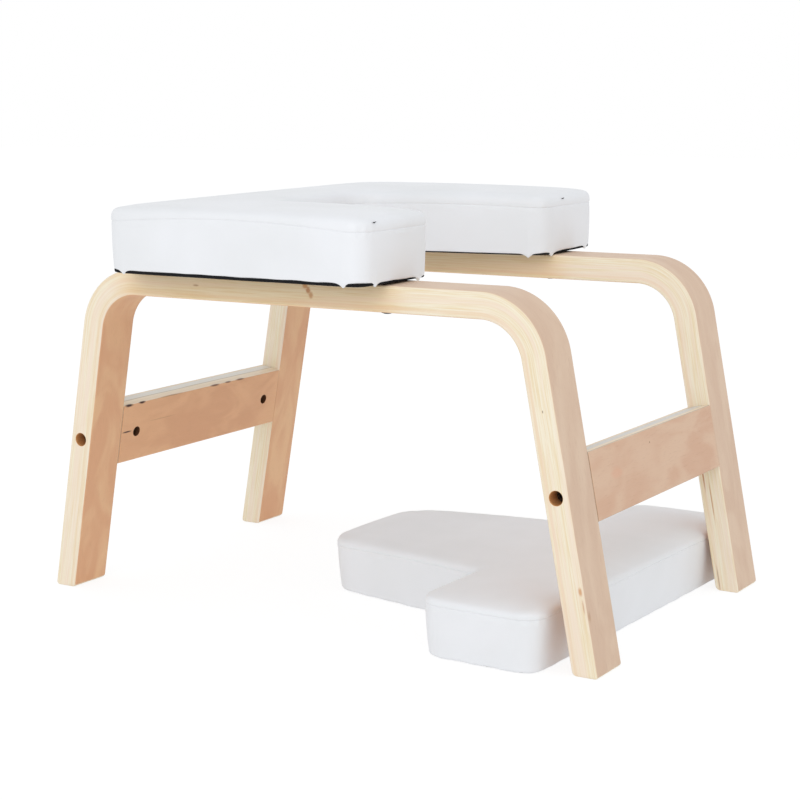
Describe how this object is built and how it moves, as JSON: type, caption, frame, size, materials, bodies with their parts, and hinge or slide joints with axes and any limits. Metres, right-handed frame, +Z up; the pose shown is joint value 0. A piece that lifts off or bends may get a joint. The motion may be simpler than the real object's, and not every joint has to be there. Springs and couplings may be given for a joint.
{
  "type": "yoga headstand stool",
  "caption": "Bent-ply headstand stool with a U-shaped shoulder pad round a neck slot, and a loose T-shaped pad that fills the slot to make a bench.",
  "frame": {"origin": "on the floor, in the middle of the four feet", "axes": "+X along the side frames toward the open end of the neck slot, +Y across to the left side frame, +Z up"},
  "size_m": [0.6232, 0.459, 0.3991],
  "materials": {
    "bent_birch_ply": "pale lacquered birch ply, satin",
    "beech_dowel": "fluted hardwood dowel, bare",
    "white_vinyl": "white upholstery vinyl, soft sheen",
    "pad_foam": "cream upholstery foam",
    "black_nonwoven": "black non-woven dust cloth",
    "zinc_steel": "zinc-plated steel",
    "black_steel": "black oxide steel"
  },
  "bodies": {
    "stool": {"closed_end_stretcher": "bent_birch_ply", "closed_end_stretcher_barrel_nut_left": "black_steel", "closed_end_stretcher_barrel_nut_right": "black_steel", "closed_end_stretcher_bolt_left": "black_steel", "closed_end_stretcher_bolt_right": "black_steel", "closed_end_stretcher_dowel_left_lower": "beech_dowel", "closed_end_stretcher_dowel_left_upper": "beech_dowel", "closed_end_stretcher_dowel_right_lower": "beech_dowel", "closed_end_stretcher_dowel_right_upper": "beech_dowel", "closed_end_stretcher_washer_left": "black_steel", "closed_end_stretcher_washer_right": "black_steel", "left_side_frame": "bent_birch_ply", "open_end_stretcher": "bent_birch_ply", "open_end_stretcher_barrel_nut_left": "black_steel", "open_end_stretcher_barrel_nut_right": "black_steel", "open_end_stretcher_bolt_left": "black_steel", "open_end_stretcher_bolt_right": "black_steel", "open_end_stretcher_dowel_left_lower": "beech_dowel", "open_end_stretcher_dowel_left_upper": "beech_dowel", "open_end_stretcher_dowel_right_lower": "beech_dowel", "open_end_stretcher_dowel_right_upper": "beech_dowel", "open_end_stretcher_washer_left": "black_steel", "open_end_stretcher_washer_right": "black_steel", "pad_screw_left_closed_end": "black_steel", "pad_screw_left_open_end": "black_steel", "pad_screw_right_closed_end": "black_steel", "pad_screw_right_open_end": "black_steel", "pad_tee_nut_left_closed_end": "zinc_steel", "pad_tee_nut_left_open_end": "zinc_steel", "pad_tee_nut_right_closed_end": "zinc_steel", "pad_tee_nut_right_open_end": "zinc_steel", "right_side_frame": "bent_birch_ply", "shoulder_pad_base_board": "bent_birch_ply", "shoulder_pad_cover": "white_vinyl", "shoulder_pad_dust_cover": "black_nonwoven", "shoulder_pad_foam": "pad_foam"},
    "filler_pad": {"filler_pad_base_board": "bent_birch_ply", "filler_pad_cover": "white_vinyl", "filler_pad_dust_cover": "black_nonwoven", "filler_pad_foam": "pad_foam"}
  },
  "joints": [
    {"name": "filler_pad_slide", "type": "slide", "parent": "stool", "child": "filler_pad", "axis": [-0.0314, -0.9995, 0], "range_m": [0, 0.45]}
  ]
}
